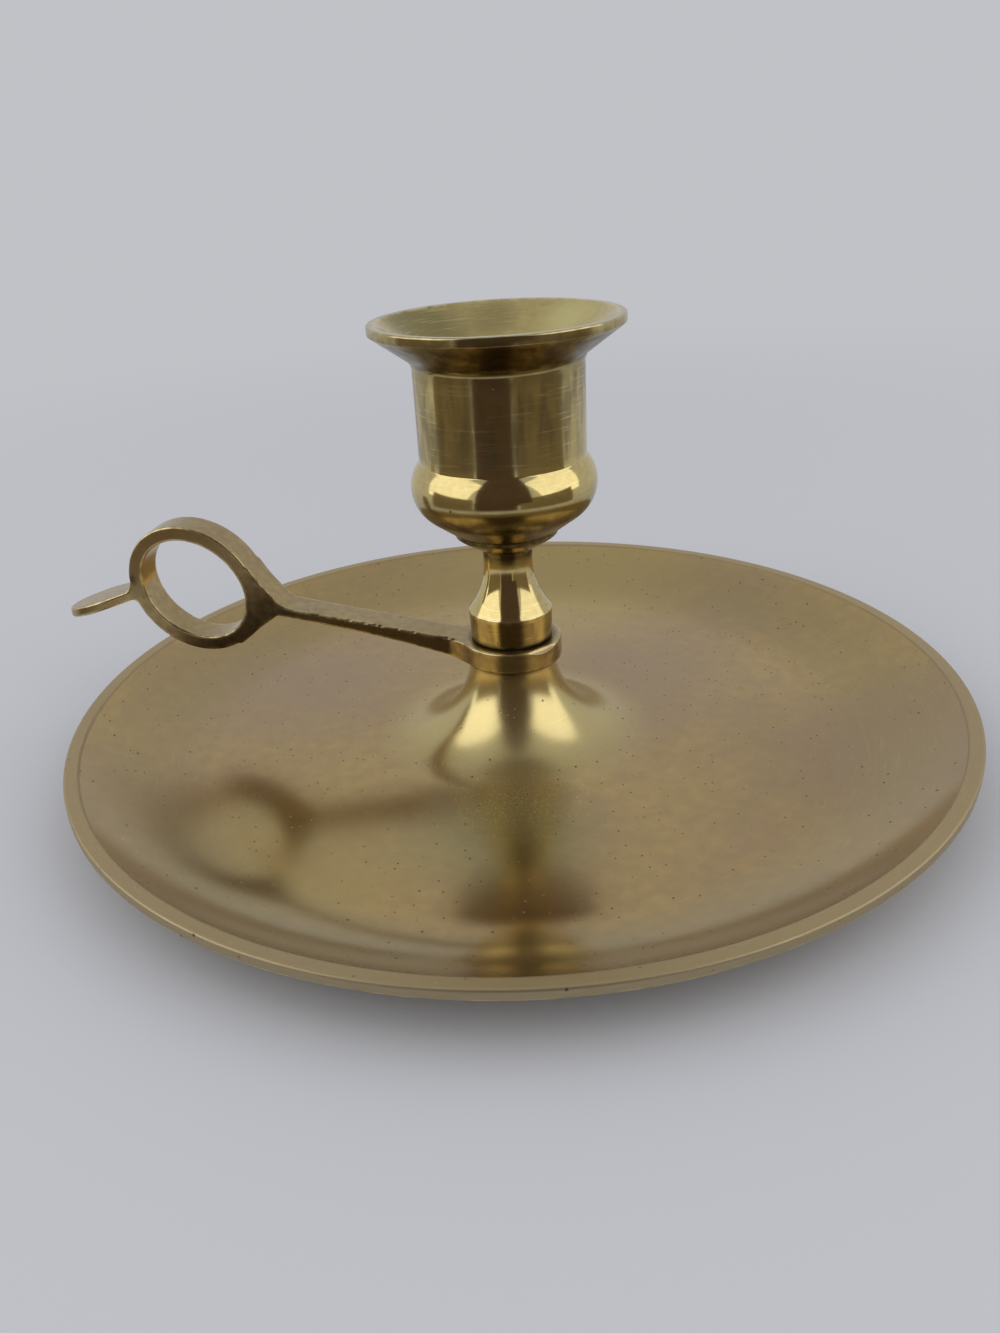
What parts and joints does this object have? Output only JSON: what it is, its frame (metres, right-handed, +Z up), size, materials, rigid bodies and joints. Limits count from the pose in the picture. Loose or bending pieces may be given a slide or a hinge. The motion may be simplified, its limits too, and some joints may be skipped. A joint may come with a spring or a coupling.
{
  "type": "chamberstick with finger loop",
  "caption": "Low brass candle holder: a dished drip tray with a raised cone, a turned stem and cup, and an arm with an oval finger ring and a thumb rest.",
  "frame": {"origin": "on the turned axis, in the plane that the tray stands on", "axes": "+Z up along the axis of the stem and the candle; -X towards the finger ring and the thumb rest; XZ is the plane of symmetry"},
  "size_m": [0.1578, 0.1524, 0.0725],
  "materials": {
    "tray_brass": "aged satin, mottled tarnish with small pits",
    "handle_brass": "worn semi-polished casting",
    "turned_brass": "polished turned brass with faint lathe lines",
    "fastener_steel": "dull machined steel"
  },
  "bodies": {
    "root": {"drip_tray": "tray_brass", "handle": "handle_brass", "stem_knop": "turned_brass", "candle_cup": "turned_brass", "tie_stud": "fastener_steel", "washer": "fastener_steel", "hex_nut": "fastener_steel"}
  },
  "joints": []
}
